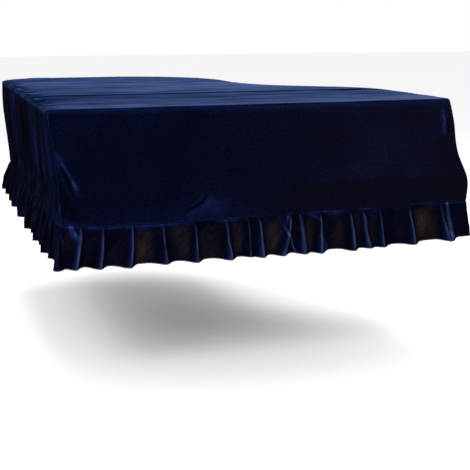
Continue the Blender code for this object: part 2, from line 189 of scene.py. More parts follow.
def noise(tree, vector, scale, detail):
    node = tree.nodes.new("ShaderNodeTexNoise")
    put(tree, vector, node.inputs["Vector"])
    put(tree, scale, node.inputs["Scale"])
    put(tree, detail, node.inputs["Detail"])
    return node.outputs["Fac"]


def pile_effect():
    """Velvet pile: clouds where it was brushed one way or the other, long strokes, crushed tufts."""
    group = bpy.data.node_groups.new("velvet_pile", "ShaderNodeTree")
    face = group.interface
    face.new_socket("Place", in_out="INPUT", socket_type="NodeSocketVector")
    face.new_socket("Stroke Stretch", in_out="INPUT", socket_type="NodeSocketVector")
    for name in ("Clouds", "Strokes", "Crushed", "Height"):
        face.new_socket(name, in_out="OUTPUT", socket_type="NodeSocketFloat")
    given = group.nodes.new("NodeGroupInput")
    out = group.nodes.new("NodeGroupOutput")
    place = given.outputs["Place"]
    stretch = group.nodes.new("ShaderNodeMapping")
    put(group, place, stretch.inputs["Vector"])
    put(group, given.outputs["Stroke Stretch"], stretch.inputs["Scale"])
    clouds = noise(group, place, scale=5.0, detail=4.0)
    strokes = noise(group, stretch.outputs["Vector"], scale=1.0, detail=4.0)
    crushed = noise(group, place, scale=120.0, detail=4.0)
    for name, fine in (("Clouds", clouds), ("Strokes", strokes), ("Crushed", crushed)):
        spread_out = group.nodes.new("ShaderNodeMapRange")
        spread_out.inputs["From Min"].default_value = 0.33
        spread_out.inputs["From Max"].default_value = 0.67
        put(group, fine, spread_out.inputs["Value"])
        put(group, spread_out.outputs["Result"], out.inputs[name])
    tufts = noise(group, place, scale=420.0, detail=3.0)
    put(group, maths(group, "MULTIPLY_ADD", tufts, 0.5, crushed), out.inputs["Height"])
    return group


PILE = pile_effect()
# The colours of the pile and the light and shade painted on it, from near-black where one looks
# straight into it to light blue where it lies over or where light is painted. Then its colours seen
# edge on, standing and crushed, the painted warm light on the frill's flats and the walls, the
# painted highlight along the pleats' crests, and the thread of the hem.
PILE_AND_LIGHT_COLOURS = (
    (0.00, (0.0005, 0.0006, 0.0018, 1.0)),
    (0.30, (0.0009, 0.0013, 0.0056, 1.0)),
    (0.60, (0.0020, 0.0042, 0.0235, 1.0)),
    (0.80, (0.0062, 0.0110, 0.0460, 1.0)),
    (1.00, (0.0260, 0.0360, 0.0960, 1.0)),
)
GRAZED = (0.040, 0.062, 0.142, 1.0)
GRAZED_CRUSHED = (0.0008, 0.0080, 0.0480, 1.0)
WARM_LIGHT = (0.0125, 0.0080, 0.0070, 1.0)
CREST_HIGHLIGHT = (0.0220, 0.0310, 0.0760, 1.0)
HEM_THREAD = (0.18, 0.13, 0.13, 1.0)
Velvet = namedtuple("Velvet", "name clouds strokes crushed grazing sheen stretch bump")


def pile_and_light_colour(tree, nap):
    """The ramp of pile colours, read at the pile's lie with its painted light and shade."""
    ramp = tree.nodes.new("ShaderNodeValToRGB")
    for _ in PILE_AND_LIGHT_COLOURS[2:]:
        ramp.color_ramp.elements.new(0.5)
    for stop, (place, colour) in zip(ramp.color_ramp.elements, PILE_AND_LIGHT_COLOURS):
        stop.position = place
        stop.color = colour
    put(tree, nap, ramp.inputs["Fac"])
    return ramp.outputs["Color"]


def pile_colour(tree, cut, nap, crushed):
    """The pile's colour with its painted light and shade, bluer where it is seen edge on, then the
    painted warm light, the painted crest highlights and the hem's thread.
    """
    facing = tree.nodes.new("ShaderNodeLayerWeight")
    facing.inputs["Blend"].default_value = 0.5
    edge_on = maths(tree, "POWER", facing.outputs["Facing"], 2.5)
    grazed = maths(tree, "MULTIPLY", edge_on, maths(tree, "MULTIPLY_ADD", nap, 0.6, 0.4))
    edge_colour = blend(tree, GRAZED_CRUSHED, GRAZED, nap)
    grazed = maths(tree, "MULTIPLY", grazed, cut.grazing)
    colour = blend(tree, pile_and_light_colour(tree, nap), edge_colour, grazed)
    mottled = maths(tree, "MULTIPLY_ADD", crushed, 0.35, 0.65)
    # Painted warm light from the lamps, mottled by the crushed pile
    colour = blend(tree, colour, WARM_LIGHT, maths(tree, "MULTIPLY", mask(tree, "warm"), mottled))
    # Painted highlight along the pleats' crests
    colour = blend(tree, colour, CREST_HIGHLIGHT, mask(tree, "crest_highlight"))
    return blend(tree, colour, HEM_THREAD, mask(tree, "turned"))


def dye_velvet(cut):
    """Velvet that is near-black into the pile, and blue where the pile lies over, where light is painted
    on it, and where it is seen edge on.
    """
    velvet = bpy.data.materials.new(cut.name)
    velvet.use_nodes = True
    tree = velvet.node_tree
    shader = tree.nodes["Principled BSDF"]
    shader.inputs["Roughness"].default_value = 0.9
    shader.inputs["Specular IOR Level"].default_value = 0.0
    shader.inputs["Sheen Weight"].default_value = cut.sheen
    shader.inputs["Sheen Roughness"].default_value = 0.35
    shader.inputs["Sheen Tint"].default_value = (0.24, 0.38, 1.0, 1.0)
    cloth = tree.nodes.new("ShaderNodeUVMap")
    cloth.uv_map = "cloth"
    pile = tree.nodes.new("ShaderNodeGroup")
    pile.node_tree = PILE
    pile.inputs["Stroke Stretch"].default_value = cut.stretch
    put(tree, cloth.outputs["UV"], pile.inputs["Place"])

    # The pile's lie from the mesh, with the light and shade painted on folds, creases, crests and edges
    nap = mask(tree, "nap")
    for effect, amount in (("Clouds", cut.clouds), ("Strokes", cut.strokes), ("Crushed", cut.crushed)):
        lower = maths(tree, "SUBTRACT", nap, amount / 2)
        nap = maths(tree, "MULTIPLY_ADD", pile.outputs[effect], amount, lower)
    nap = maths(tree, "MINIMUM", maths(tree, "MAXIMUM", nap, 0.0), 1.0)
    put(tree, pile_colour(tree, cut, nap, pile.outputs["Crushed"]), shader.inputs["Base Color"])
    bump = tree.nodes.new("ShaderNodeBump")
    bump.inputs["Strength"].default_value = cut.bump
    bump.inputs["Distance"].default_value = 0.002
    put(tree, pile.outputs["Height"], bump.inputs["Height"])
    put(tree, bump.outputs["Normal"], shader.inputs["Normal"])
    return velvet


TOP_VELVET = dye_velvet(Velvet(
    "top_velvet", clouds=0.12, strokes=0.28, crushed=0.10,
    grazing=1.0, sheen=0.008, stretch=(5.0, 26.0, 1.0), bump=0.35,
))


TREBLE_EASE = 0.06
BASS_EASE = 0.22


def on_sides(s):
    """0 on the front, 1 round the three gathered sides."""
    s = s % ROUND
    past_treble = smooth((s - CORNERS["front_treble"]) / TREBLE_EASE)
    return past_treble * smooth((ROUND - s) / BASS_EASE)


def roll_relief(s):
    """Puckers where the top's rim is gathered in along the sides."""
    puckers = 0.0010 * crumple(s, 0, 0.011, 1.0, seed=31) + 0.0014 * crumple(s, 0, 0.030, 1.0, seed=32)
    return on_sides(s) * puckers


# Bands of painted light and shade across the top: painted shade along the seam and over the flap
# in front of it, painted light along the front edge and its roll. Each gives how far behind the front,
# the width, the change, and how much the width and the change grow towards the treble side
Shade = namedtuple("Shade", "behind width nap widening growth")
SHADES = (
    Shade(FLAP_SEAM + 0.004, 0.019, -1.10, 0.006, 0.00),
    Shade(FLAP_SEAM - 0.160, 0.130, -0.16, 0.000, 0.09),
    Shade(0.000, 0.100, 0.18, 0.000, 0.00),
    Shade(RIM_ROLL, 0.020, 0.14, 0.000, 0.00),
)
TOP_NAP = 0.64


def top_nap_and_painted_light(x, behind, from_bass, ridges):
    """How the pile of the top lies, with painted light and shade: 0 dark to 1 light. ridges is the painted
    light and shade that follow its relief.
    """
    across = x / LID_HALF
    nap = TOP_NAP + 0.13 * across + ridges - 0.30 * bell(from_bass, 0.045)
    nap += 0.10 * crumple(x, behind, 0.30, 0.10, seed=26, round_rim=False)
    nap += 0.20 * bell(behind - FLAP_SEAM - 0.45, 0.22) * bell(x - 0.10, 0.40)
    for shade in SHADES:
        change = shade.nap + shade.growth * across
        nap += change * bell(behind - shade.behind, shade.width + shade.widening * across)
    return nap


def top_looks(x, behind, from_rim, from_bass):
    """Low waves, strokes across the lid, a crinkled band inside the bass rim, and the seam."""
    from_seam = behind - FLAP_SEAM
    inner = smooth(from_rim / 0.10)
    wave = 1.0 + np.sin(6.0 * x + 11.0 * behind) * np.cos(9.0 * behind - 3.0 * x)
    strokes = 0.0005 * crumple(x, behind, 0.20, 0.042, seed=21, round_rim=False) * inner
    strokes += 0.0003 * crumple(x, behind, 0.11, 0.018, seed=22, round_rim=False) * smooth(from_rim / 0.05)
    band = bell(from_bass - 0.022, 0.030) * smooth(from_bass / 0.006)
    crinkles = 0.0017 * band * crumple(x, behind, 0.035, 0.020, seed=23, round_rim=False)
    crinkles += 0.0008 * band * crumple(x, behind, 0.020, 0.009, seed=24, round_rim=False)
    puckers = 0.0006 * bell(from_seam, 0.012) * crumple(x, behind, 0.012, 0.5, seed=25, round_rim=False)
    beside_seam = 0.0022 * bell(np.abs(from_seam) - 0.026, 0.013) * inner
    height = 0.0012 * wave * inner + strokes + crinkles + puckers + beside_seam
    height -= 0.0020 * bell(from_seam, 0.0060)
    # The relief's strokes and crinkles paint light where they stand up and shade where they sink
    return height, top_nap_and_painted_light(x, behind, from_bass, 330.0 * strokes + 400.0 * crinkles)


EDGE_STEPS = 4000
TOP_COLUMNS = 190
ROLL_STEPS = 5


def edge_places(start, end):
    """Distances behind the front, with lengths round the rim, down one long edge of the flat."""
    first = BENDS[start][0]
    s = np.linspace(first, first + (BENDS[end][2] - first) % ROUND, EDGE_STEPS)
    point, outward = rim(s)
    behind = point[:, 1] - RIM_ROLL * outward[:, 1]
    order = np.argsort(behind, kind="stable")
    return behind[order], s[order]


def turn_down(s, height, nap, places):
    """Rows of the rim, rolled down over the lid's edge from the flat's last height, pile and places."""
    point, outward = rim(s)
    rim_nap = 0.42 - 0.18 * on_sides(s) * (1.0 + crumple(s, 0, 0.030, 1.0, seed=33))
    for step in range(1, ROLL_STEPS + 1):
        share = step / ROLL_STEPS
        turn = (roll_end(s) * share)[:, None]
        normal = np.concatenate([np.sin(turn) * outward, np.cos(turn)], -1)
        plan = point - RIM_ROLL * (1 - np.sin(turn)) * outward + [0.0, LID_FRONT]
        skin = np.concatenate([plan, CLOTH - RIM_ROLL * (1 - np.cos(turn))], -1)
        lift = roll_relief(s) * math.sin(math.pi * share) + height * (1 - share)
        turned = min(1.0, 2.0 * share)
        pile = nap * (1 - turned) + rim_nap * turned
        yield skin + lift[:, None] * normal, places + outward * RIM_ROLL * turn, pile


def lay_top(name, rows):
    """A panel of the top. rows are distances behind the front, from the seam to the rim."""
    bass = np.interp(rows, *edge_places("tail_bass", "front_bass"))
    treble = np.interp(rows, *edge_places("front_treble", "tail_treble"))
    point, outward = rim(np.stack([bass, treble], -1))
    ends = point[..., 0] - RIM_ROLL * outward[..., 0]
    x = ends[:, :1] + (ends[:, 1:] - ends[:, :1]) * np.linspace(0.0, 1.0, TOP_COLUMNS)
    behind = np.broadcast_to(rows[:, None], x.shape)
    from_rim = np.minimum(np.minimum(x - x[:, :1], x[:, -1:] - x), np.abs(behind - rows[-1]))
    height, nap = top_looks(x, behind, from_rim, x - x[:, :1])
    flat = np.stack([x, behind + LID_FRONT, CLOTH + height], -1).reshape(-1, 3)
    places = np.stack([x, behind], -1).reshape(-1, 2)

    at = np.arange(x.size).reshape(x.shape)
    edge = np.concatenate([at[:-1, 0], at[-1], at[-2::-1, -1]])
    last_row = np.linspace(treble[-1] - signed_gap(treble[-1], bass[-1]), treble[-1], TOP_COLUMNS)
    s = np.concatenate([bass[:-1], last_row, treble[-2::-1]])
    rolled = turn_down(s, height.ravel()[edge], nap.ravel()[edge], places[edge])
    skins, places, naps_and_painted_light = zip((flat, places, nap.ravel()), *rolled)

    faces = [grid_faces(*x.shape)]
    rims = [edge] + [x.size + step * len(s) + np.arange(len(s)) for step in range(ROLL_STEPS)]
    for before, after in zip(rims, rims[1:]):
        faces.append(np.stack([before[:-1], after[:-1], after[1:], before[1:]], -1))
    faces = np.concatenate(faces)
    # Where the rows run from the seam towards the tail, the faces are turned over to look up
    if rows[-1] > rows[0]:
        faces = faces[:, ::-1]
    marks = {"nap": np.concatenate(naps_and_painted_light)}
    return cut_cloth(name, np.concatenate(skins), faces, np.concatenate(places), marks, TOP_VELVET)


# The hang of the walls and the frill: how far each seam and hem is below the lid, and how far
# it stands outside the rim. The front leans out over the key arms, which it meets at both ends.
Hang = namedtuple("Hang", "corner past seam_drop hem_drop seam_out hem_out")
HANGS = (
    Hang("front_bass", 0.00, 0.370, 0.502, -0.014, 0.002),
    Hang("front_bass", 0.20, 0.380, 0.509, 0.000, 0.002),
    Hang("front_bass", 1.10, 0.377, 0.508, 0.000, 0.002),
    Hang("front_treble", 0.00, 0.362, 0.491, 0.008, 0.026),
    Hang("shoulder", 0.00, 0.368, 0.497, -0.004, 0.002),
    Hang("waist", 0.00, 0.374, 0.503, -0.010, -0.002),
    Hang("tail_treble", 0.00, 0.377, 0.506, -0.012, -0.002),
    Hang("tail_bass", 0.00, 0.380, 0.511, -0.022, 0.004),
    Hang("tail_bass", 0.95, 0.378, 0.510, -0.014, 0.008),
)
# How far it leans out, at its ends and in its middle, from the rim (0) past the seam (1) to the
# hem (2). It goes from one to the other over KEY_ARM, and dies out along the sides.
Reach = namedtuple("Reach", "level ends middle")
FRONT_REACH = (
    Reach(0.00, 0.000, 0.000),
    Reach(0.20, 0.043, 0.038),
    Reach(0.52, 0.080, 0.092),
    Reach(0.77, 0.148, 0.128),
    Reach(1.00, 0.140, 0.137),
    Reach(2.00, 0.150, 0.150),
)
KEY_ARM = 0.30
REACH_FADE = 0.62


def hang(s, column):
    """One column of HANGS, eased from each place to the next."""
    places = np.array([CORNERS[row.corner] + row.past for row in HANGS] + [ROUND])
    values = np.array([getattr(row, column) for row in HANGS + HANGS[:1]])
    s = np.asarray(s, float) % ROUND
    i = np.clip(np.searchsorted(places, s) - 1, 0, len(HANGS) - 1)
    return values[i] + (values[i + 1] - values[i]) * smooth(
        (s - places[i]) / (places[i + 1] - places[i])
    )


def through(x, xs, ys):
    """A smooth curve through the points (xs, ys), read at x."""
    slopes = np.gradient(ys, xs)
    i = np.clip(np.searchsorted(xs, x) - 1, 0, len(xs) - 2)
    width = xs[i + 1] - xs[i]
    t = np.clip((x - xs[i]) / width, 0.0, 1.0)
    rise = t**2 * (3 - 2 * t) * ys[i + 1] - t**2 * (1 - t) * width * slopes[i + 1]
    return (1 + 2 * t) * (1 - t) ** 2 * ys[i] + t * (1 - t) ** 2 * width * slopes[i] + rise


def front_reach(s, level):
    """How far the cover stands in front of the rim at a level: 0 rim, 1 seam, 2 hem."""
    s = np.asarray(s, float) % ROUND
    middle = smooth(np.minimum(s, CORNERS["front_treble"] - s) / KEY_ARM)
    levels, ends, middles = np.array(FRONT_REACH).T
    ends, middles = through(level, levels, ends), through(level, levels, middles)
    beyond = np.maximum(np.minimum(s - CORNERS["front_treble"], ROUND - s), 0.0)
    return np.clip(1 - beyond / REACH_FADE, 0.0, 1.0) ** 2 * (ends + (middles - ends) * middle)


def roll_end(s):
    """How far round the lid's edge the top turns before the wall leaves it."""
    just_below = 0.0016
    slope = front_reach(s, just_below) / (just_below * hang(s, "seam_drop"))
    return np.pi / 2 - np.arctan(slope * np.maximum(-rim(s)[1][..., 1], 0.0))


# Rows of the two panels, closer together in the flat's small front corners and round the tail
FLAP_ROWS = 74
MAIN_ROWS = 132
TAIL_STEP = 0.017
front, tail = OUTLINE[0], OUTLINE[5]
round_front = (front.radius - RIM_ROLL) * (1 - np.sin(np.radians(np.linspace(0, 90, 5))))
flap_rows = np.concatenate([np.linspace(FLAP_SEAM, 0.03, FLAP_ROWS), RIM_ROLL + round_front])
round_tail = tail.y - RIM_ROLL - (np.arange(9, -1, -1) * TAIL_STEP) ** 2 / (2 * tail.radius)
main_rows = np.concatenate([np.linspace(FLAP_SEAM, round_tail[0] - 0.008, MAIN_ROWS), round_tail])
top_pieces = (
    ("velvet_top_front", "top_front", flap_rows, (1.54, 0.56), None),
    ("velvet_top_main", "top_main", main_rows, (1.52, 1.28), 1.47),
)
for name, node, rows, flat, area in top_pieces:
    top = lay_top(name, rows)
    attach(top, "root")
    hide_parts(node)

# The walls: four lengths of the same velvet hung from the rim and sewn to each other at the
# front corners and the tail. The front is cut flat; the sides are gathered a little into the
# rim, so they fall in soft upright folds that crinkle above the frill.
Wall = namedtuple("Wall", "side start end folds seed step flat")
WALLS = (
    Wall("front", "front_bass", "front_treble", 0, 0, 0.0040, (1.53, 0.40)),
    Wall("treble", "front_treble", "tail_treble", 15, 4, 0.0070, (2.20, 0.40)),
    Wall("tail", "tail_treble", "tail_bass", 7, 7, 0.0070, (0.95, 0.40)),
    Wall("bass", "tail_bass", "front_bass", 0, 0, 0.0045, (1.95, 0.40)),
)
# The bass side's folds, as lengths behind the front corner
BASS_FOLDS = (
    0.097, 0.173, 0.239, 0.336, 0.434, 0.543, 0.639, 0.774,
    0.917, 1.031, 1.150, 1.254, 1.363, 1.470, 1.580,
)
PLEATS_ON = {"treble": 18, "tail": 8}
FOLD_DEPTH = 0.011
FOLD_WIDTH = 0.026
FOLD_AT_SEAM = 0.5
UNEVEN = 0.22
FOLD_LEAN = 0.75
CORNER_TUCK = 0.014
CORNER_REACH = 0.055
# The front's deep creases: both ends across and below the lid, then height and width
Crease = namedtuple("Crease", "x1 drop1 x2 drop2 height width")
CREASES = (
    Crease(-0.720, 0.150, -0.648, 0.290, 0.006, 0.013),
    Crease(-0.740, 0.185, -0.693, 0.285, 0.004, 0.012),
    Crease(-0.243, 0.372, -0.163, 0.325, 0.004, 0.012),
)


def spread(wall, count, depth, width):
    """Uneven places along one side as (place, depth, width), and a sideways lean for each."""
    rng = np.random.default_rng(wall.seed + count)
    start = CORNERS[wall.start]
    pitch = ((CORNERS[wall.end] - start) % ROUND) / count
    uneven = rng.uniform(-UNEVEN, UNEVEN, (4, count))
    place = start + (np.arange(count) + 0.5 + uneven[0]) * pitch
    rows = np.stack([place, depth * (1 + uneven[1]), (width or pitch) * (1 + uneven[2])], -1)
    return rows, uneven[3] * pitch / 2


FOLDS = np.concatenate(
    [spread(wall, wall.folds, FOLD_DEPTH, FOLD_WIDTH)[0] for wall in WALLS[1:3]]
    + [[(ROUND - behind, FOLD_DEPTH, FOLD_WIDTH) for behind in BASS_FOLDS]]
)


def plumb(s, level):
    """The rim length straight above a place on the two long sides, which lean to the front."""
    back = np.where(s % ROUND > CORNERS["tail_treble"], FOLD_LEAN, -FOLD_LEAN)
    return s + back * front_reach(s, level) * on_sides(s)


def fold_height(s, level):
    """The upright folds at s, at a level from 0 at the rim to 1 at the seam."""
    s = plumb(s, level)
    height = sum(depth * bell(signed_gap(s, at), width) for at, depth, width in FOLDS)
    fade = 1 - (1 - FOLD_AT_SEAM) * smooth((level - 0.7) / 0.3)
    return (height - FOLD_DEPTH / 2) * smooth(level / 0.35) * fade


def beside(s, drop, start, end):
    """How far each place is from the line between two others, and its share of the way along."""
    run = np.array(end) - start
    away = np.stack([signed_gap(s, start[0]), drop - start[1]], -1)
    share = np.clip(away @ run / (run @ run), 0.0, 1.0)
    return np.linalg.norm(away - share[..., None] * run, axis=-1), share


def crease_height(s, drop):
    """The creases and the slack of the front panel."""
    wave = np.sin(7.0 * s + 9.0 * drop) + 0.6 * np.sin(13.0 * s - 14.0 * drop + 1.0)
    height = 0.0025 * wave * smooth(drop / 0.1)
    for x1, drop1, x2, drop2, tall, width in CREASES:
        gap, share = beside(s, drop, (x1 + LID_HALF, drop1), (x2 + LID_HALF, drop2))
        height += tall * bell(gap, width) * (0.4 + 0.6 * share)
    return height


def hanging(s, level, pleats, dip):
    """A point on the outside of the cover: level 0 to 1 is the wall, 1 to 2 the frill."""
    point, outward = rim(s)
    share, wall = np.clip(level - 1, 0.0, 1.0), np.clip(level, 0.0, 1.0)
    roll = roll_end(s)
    start = CLOTH - RIM_ROLL * (1 - np.cos(roll))
    seam_z, hem_z = -hang(s, "seam_drop"), -hang(s, "hem_drop")
    z = start + (seam_z - start) * np.minimum(level, 1.0)
    z = z + (hem_z - seam_z) * np.maximum(level - 1, 0.0)
    seam_out, hem_out = hang(s, "seam_out"), hang(s, "hem_out")
    out = seam_out * smooth(wall) - RIM_ROLL * (1 - np.sin(roll))
    out = out + (hem_out - seam_out) * np.sin(np.pi / 2 * share)
    out = out + pleats + fold_height(s, wall) * (1 - share)
    tuck = CORNER_TUCK * bell(signed_gap(s, 0.0), CORNER_REACH)
    out = out - tuck * smooth(wall / 0.4) * (1 - 0.5 * share)
    local, width = s % ROUND, CORNERS["front_treble"]
    on_front = smooth(local / 0.04) * smooth((width - local) / 0.04)
    out = out + crease_height(local, -z) * on_front * (1 - share)
    x = point[..., 0] + outward[..., 0] * out
    y = point[..., 1] + outward[..., 1] * out - front_reach(s, level) + LID_FRONT
    return np.stack([x, y, z - dip * share], -1)


def seam_puckers(s, from_seam):
    """The stitched line where the frill joins, with the gathers that it draws up."""
    near = bell(from_seam, 0.012)
    gathers = 0.0014 * crumple(s, 0, 0.012, 1.0, seed=41) + 0.0010 * crumple(s, 0, 0.026, 1.0, seed=42)
    return near * gathers - 0.0030 * bell(from_seam, 0.0030)


def push_out(shape, s, relief, from_seam):
    """The skin shape(s), moved by its relief along its normals, which turn level at the seam."""
    skin, nearby = shape(s), 0.0012
    across = shape(s + nearby) - shape(s - nearby)
    normals = np.cross(np.gradient(skin, axis=0), across)
    normals /= np.linalg.norm(normals, axis=-1, keepdims=True)
    level_out = np.concatenate([rim(s)[1], np.zeros((*s.shape, 1))], -1)
    normals += (level_out - normals) * bell(from_seam, 0.006)[..., None]
    return skin + normals / np.linalg.norm(normals, axis=-1, keepdims=True) * relief[..., None]


# Creases on the front, its corners and the frill, with painted light or shade along each: both
# ends as lengths from the bass corner and drops, the height, the width, and how much light (above 0)
# or shade (below 0) is painted along it
Stroke = namedtuple("Stroke", "s1 drop1 s2 drop2 height width shine")
STROKES = (
    Stroke(0.012, 0.135, 0.046, 0.255, 0.0020, 0.0065, 0.20),
    Stroke(0.022, 0.140, 0.074, 0.250, 0.0025, 0.0070, 0.40),
    Stroke(0.032, 0.185, 0.058, 0.250, -0.0030, 0.0070, -0.30),
    Stroke(0.064, 0.236, 0.075, 0.262, 0.0010, 0.0120, 0.26),
    Stroke(0.004, 0.008, 0.001, 0.046, 0.0015, 0.0030, 0.34),
    Stroke(0.014, 0.010, 0.005, 0.052, -0.0015, 0.0040, -0.25),
    Stroke(0.006, 0.100, 0.002, 0.300, 0.0020, 0.0060, 0.14),
    Stroke(-0.020, 0.060, -0.030, 0.340, 0.0030, 0.0070, 0.20),
    Stroke(-0.045, 0.050, -0.060, 0.330, -0.0030, 0.0070, -0.16),
    Stroke(-0.075, 0.040, -0.090, 0.330, 0.0030, 0.0080, 0.18),
    Stroke(0.020, 0.210, 0.010, 0.360, -0.0020, 0.0050, -0.15),
    Stroke(-0.012, 0.230, 0.014, 0.370, 0.0030, 0.0050, 0.24),
    Stroke(-0.055, 0.260, -0.022, 0.368, 0.0030, 0.0060, 0.24),
    Stroke(1.464, 0.040, 1.455, 0.120, 0.0030, 0.0080, 0.46),
    Stroke(1.480, 0.056, 1.468, 0.120, -0.0020, 0.0070, -0.16),
    Stroke(0.439, 0.346, 0.512, 0.296, -0.0025, 0.0045, -0.30),
    Stroke(0.455, 0.356, 0.528, 0.306, 0.0030, 0.0150, 0.20),
    Stroke(0.458, 0.324, 0.500, 0.294, 0.0010, 0.0035, 0.22),
    Stroke(0.520, 0.325, 0.560, 0.335, 0.0010, 0.0260, 0.20),
    Stroke(0.046, 0.376, 0.068, 0.412, 0.0040, 0.0120, 0.75),
    Stroke(0.020, 0.400, 0.011, 0.452, 0.0020, 0.0045, 0.60),
    Stroke(0.794, 0.418, 0.830, 0.503, 0.0030, 0.0042, 0.85),
    Stroke(0.815, 0.376, 0.788, 0.412, 0.0020, 0.0040, 0.55),
    Stroke(0.930, 0.455, 0.950, 0.507, 0.0030, 0.0090, 0.50),
    Stroke(0.880, 0.377, 0.924, 0.392, 0.0020, 0.0060, 0.40),
    Stroke(1.094, 0.385, 1.110, 0.435, 0.0020, 0.0055, 0.38),
    Stroke(1.405, 0.430, 1.430, 0.480, 0.0020, 0.0080, 0.40),
    Stroke(1.290, 0.440, 1.299, 0.495, 0.0020, 0.0080, 0.30),
)


def stroke_looks(s, drop):
    """The height of the creases, and the light or shade painted along them."""
    height, nap = 0.0, 0.0
    wander = 0.004 * crumple(s, drop, 0.020, 0.020, seed=66)
    for s1, drop1, s2, drop2, tall, width, shine in STROKES:
        gap, share = beside(s + wander, drop + wander, (s1, drop1), (s2, drop2))
        lump = bell(gap, width) * (0.35 + 0.65 * np.sin(np.pi * (0.15 + 0.7 * share)))
        height, nap = height + tall * lump, nap + shine * lump
    return height, nap


# The painted light and shade of the uprights on the bass side: how far behind the front, the width,
# and how much light (above 0) or shade (below 0) is painted
Stripe = namedtuple("Stripe", "behind width shine")
STRIPES = (
    Stripe(-0.015, 0.012, -0.10),
    Stripe(0.010, 0.012, 0.14),
    Stripe(0.055, 0.020, 0.26),
    Stripe(0.118, 0.018, -0.10),
    Stripe(0.157, 0.015, 0.32),
    Stripe(0.230, 0.040, -0.34),
    Stripe(0.325, 0.015, 0.44),
    Stripe(0.400, 0.045, 0.26),
    Stripe(0.480, 0.016, 0.40),
    Stripe(0.590, 0.050, -0.14),
    Stripe(0.700, 0.022, 0.28),
    Stripe(0.760, 0.026, -0.20),
    Stripe(1.060, 0.080, 0.40),
)


def side_crinkles(s, drop):
    """Short crushed creases low on the gathered sides, from -1 to 1."""
    crinkles = crumple(s + 0.3 * drop, drop, 0.040, 0.050, seed=54)
    return 0.65 * crinkles + 0.45 * crumple(s - 0.4 * drop, drop, 0.020, 0.028, seed=55)


def side_looks(s, level, drop):
    """The height and pile of the sides: gathers, stripes on the folds and creases low down, with light
    painted on the folds' crests, raised gathers and creases, and painted light and shade in stripes.
    """
    sides = on_sides(s)
    under_rim = bell(drop - 0.02, 0.045) * smooth(drop / 0.012)
    height = 0.0020 * under_rim * crumple(s, drop, 0.016, 0.12, seed=51)
    height += 0.0030 * smooth(drop / 0.08) * crumple(s, drop, 0.034, 0.30, seed=52)
    height += 0.0014 * smooth(drop / 0.05) * crumple(s, drop, 0.015, 0.16, seed=53)
    height *= sides
    low = smooth((level - 0.50) / 0.35)
    ridged = np.clip(0.5 + fold_height(s, 0.5) / FOLD_DEPTH, 0.0, 1.0) ** 3
    nap = sides * (0.14 * ridged - 0.20 - 0.05 * low + np.clip(45.0 * height, -0.12, 0.12))
    above = plumb(s, level)
    stripes = sum(shine * bell(signed_gap(above, -behind), width) for behind, width, shine in STRIPES)
    stripes += 0.16 * sides * crumple(above, drop, 0.020, 0.45, seed=58)
    nap += stripes * (1 - 0.75 * low) * smooth(drop / 0.02) * (0.5 + 0.5 * sides)
    corner = bell(signed_gap(s, ROUND - 0.02), 0.10) * smooth((level - 0.45) / 0.4)
    crinkles = np.maximum(sides * low, 0.8 * corner) * side_crinkles(s, drop)
    height += 0.0040 * crinkles * smooth((hang(s, "seam_drop") - drop) / 0.02)
    return height, nap + 0.42 * crinkles


def front_looks(s, across, drop, to_seam):
    """The height, pile and painted warm light of the front: its slack, the painted shade under the key
    arms, and a lighter band above the seam.
    """
    slack = crumple(s, drop, 0.30, 0.16, seed=56) * smooth(drop / 0.06)
    height = 0.0018 * slack + 0.0005 * crumple(s, drop, 0.060, 0.045, seed=57) * smooth(drop / 0.03)
    under_arms = smooth((across - 0.45) / 0.7) * smooth((drop - 0.262) / 0.012)
    nap = 0.03 * slack - 0.05 * bell(signed_gap(s, 0.10), 0.50) - 0.17 * under_arms
    nap += 0.10 * bell(to_seam, 0.05) * (0.6 + 0.5 * crumple(s, 0, 0.11, 1.0, seed=72))
    return height, nap, 0.02 * under_arms + 0.09 * smooth(across - 0.3)


WALL_NAP = 0.32


def wall_looks(s, level, drop):
    """What is finer than the folds, and the pile with painted light and shade: 0 near-black to 1 palest
    blue.
    """
    sides = on_sides(s)
    front = 1 - sides
    across = np.where(s % ROUND < ROUND / 2, s % ROUND, 0.0)
    to_seam = hang(s, "seam_drop") - drop
    side_height, side_nap_and_painted_light = side_looks(s, level, drop)
    front_height, front_nap_and_painted_light, front_warm_light = front_looks(s, across, drop, to_seam)
    tall, shine = stroke_looks(s, drop)
    height = (side_height + front * front_height + tall) * smooth(to_seam / 0.008)
    nap = WALL_NAP + side_nap_and_painted_light + front * front_nap_and_painted_light + shine + 0.22 * bell(drop, 0.012)
    stitched = 0.2 + 0.5 * smooth(crumple(s, 0, 0.05, 1.0, seed=73) + 0.4) * (0.5 + 0.5 * smooth(across))
    nap += (1 - 0.85 * sides) * stitched * bell(to_seam - 0.0028, 0.0024)
    return height + seam_puckers(s, to_seam), nap, 0.06 * sides + front * front_warm_light


def columns(wall, step):
    """Lengths round the rim along one wall, closer together beside its ends."""
    first = CORNERS[wall.start]
    last = first + (CORNERS[wall.end] - first) % ROUND
    near = np.array([0.0008, 0.0018])
    even = np.linspace(first, last, int((last - first) / step))
    return np.sort(np.concatenate([even, first + near, last - near]))


